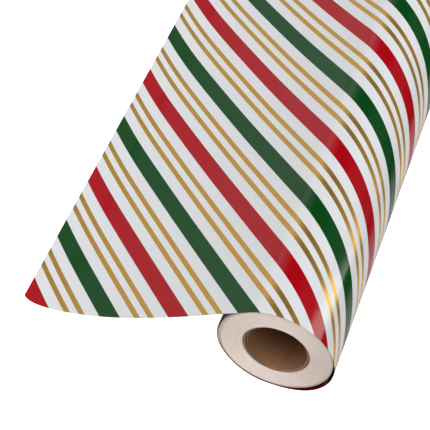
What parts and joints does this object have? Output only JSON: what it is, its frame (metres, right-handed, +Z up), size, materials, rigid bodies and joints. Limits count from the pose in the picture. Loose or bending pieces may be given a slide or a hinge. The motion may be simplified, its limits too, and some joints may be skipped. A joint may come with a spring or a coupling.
{
  "type": "wrapping paper roll",
  "caption": "Roll of striped gift wrap on a kraft tube, lying on its side with the end of the paper pulled off over its top.",
  "frame": {"origin": "middle of the tube's bore, on the roll's axis", "axes": "+Y along the roll's axis, +Z up from the table that it lies on, and the pulled-off sheet runs towards -X"},
  "size_m": [0.2042, 0.61, 0.0708],
  "materials": {
    "kraft_liner": "matte brown kraft",
    "grey_board": "matte grey-brown chipboard",
    "clear_tape": "satin adhesive film",
    "paper_edges": "matte cut edges of coated paper",
    "printed_paper": "glossy coated, printed in red, green and gold"
  },
  "bodies": {
    "loose_turn": {"outer_turn": "printed_paper"},
    "roll": {"core_liner": "kraft_liner", "core_inner_body_ply": "grey_board", "core_outer_body_ply": "grey_board", "core_cover_ply": "kraft_liner", "starting_tape": "clear_tape", "wound_pack": "paper_edges"},
    "sheet": {"unrolled_sheet": "printed_paper"}
  },
  "joints": [
    {"name": "roll_spin", "type": "hinge", "parent": "loose_turn", "child": "roll", "pos_m": [0, 0, 0], "axis": [0, -1, 0], "range_deg": [0, 332]},
    {"name": "sheet_feed", "type": "slide", "parent": "loose_turn", "child": "sheet", "axis": [-1, 0, 0], "range_m": [0, 0.2017]}
  ],
  "couplings": [
    {"joint": "sheet_feed", "follows": "roll_spin", "m_per_rad": 0.0348}
  ]
}
